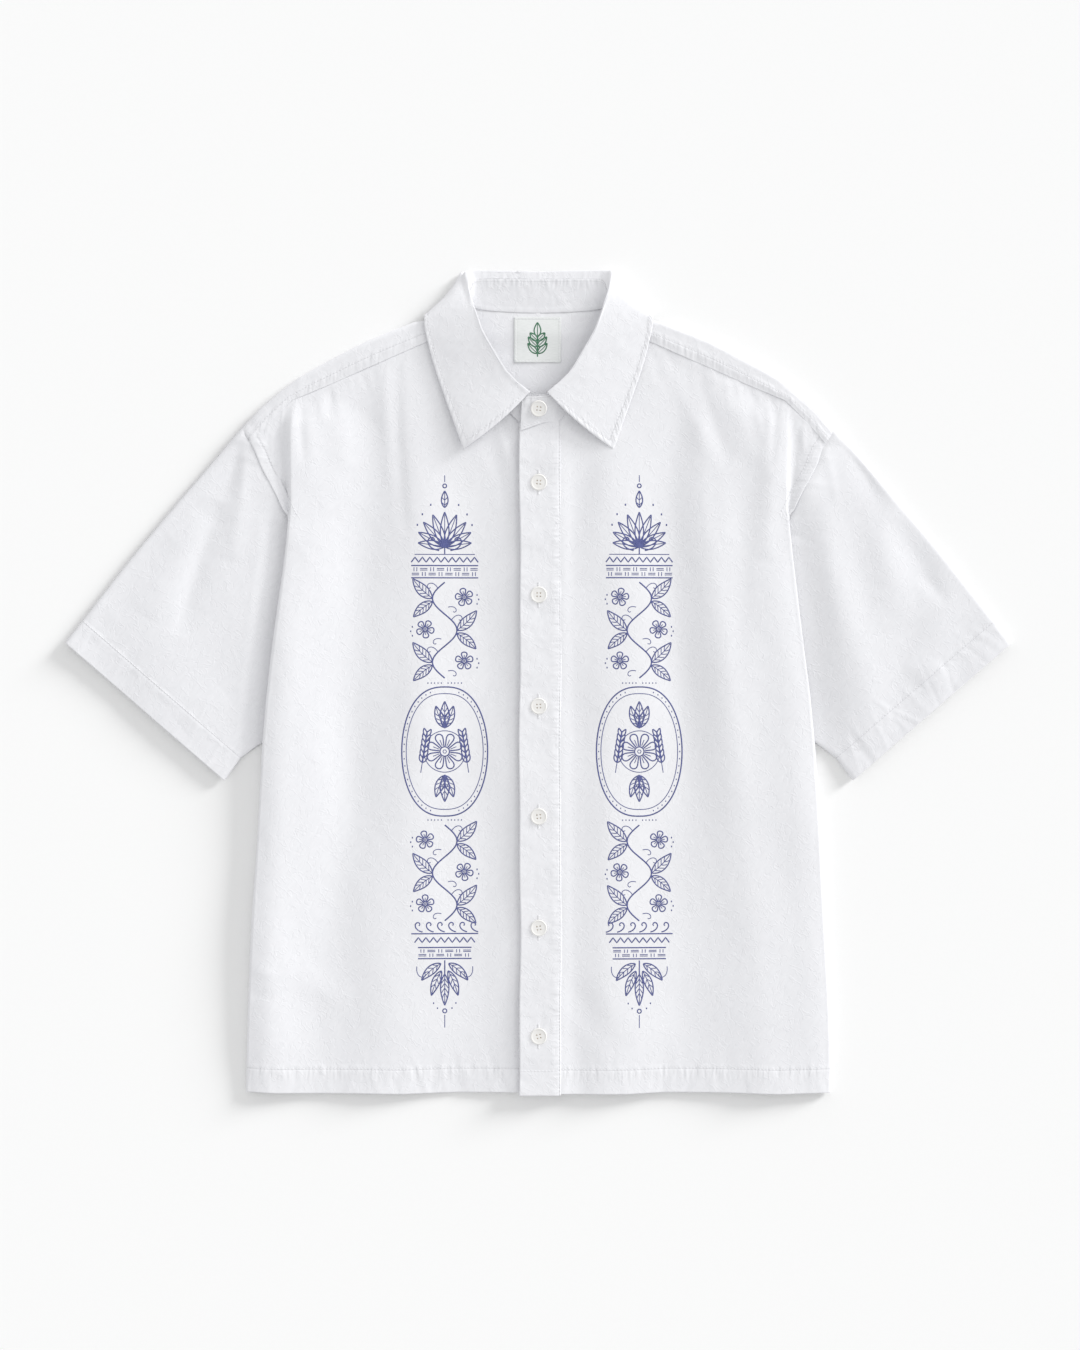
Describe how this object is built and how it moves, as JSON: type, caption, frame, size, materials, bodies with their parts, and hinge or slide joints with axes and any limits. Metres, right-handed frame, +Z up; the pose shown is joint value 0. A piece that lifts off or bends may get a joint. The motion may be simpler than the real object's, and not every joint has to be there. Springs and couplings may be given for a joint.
{
  "type": "barong style short-sleeved shirt",
  "caption": "Buttoned short-sleeved cotton shirt with a turn-down collar and barong-style front panels, laid flat on its back.",
  "frame": {"origin": "on the ground under the middle of the shirt's outline", "axes": "+Z up from the surface the shirt lies on, +Y towards the collar, +X towards the wearer's left sleeve"},
  "size_m": [0.85, 0.741, 0.0184],
  "materials": {
    "cotton": "matte",
    "button": "satin",
    "label": "satin"
  },
  "bodies": {
    "root": {"back": "cotton", "yoke": "cotton", "front_right": "cotton", "front_left": "cotton", "button_stand": "cotton", "placket": "cotton", "sleeve_right": "cotton", "sleeve_left": "cotton", "collar_stand": "cotton", "collar_leaf": "cotton", "label": "label", "button_collar": "button", "button_1": "button", "button_2": "button", "button_3": "button", "button_4": "button", "button_5": "button", "button_6": "button"}
  },
  "joints": []
}
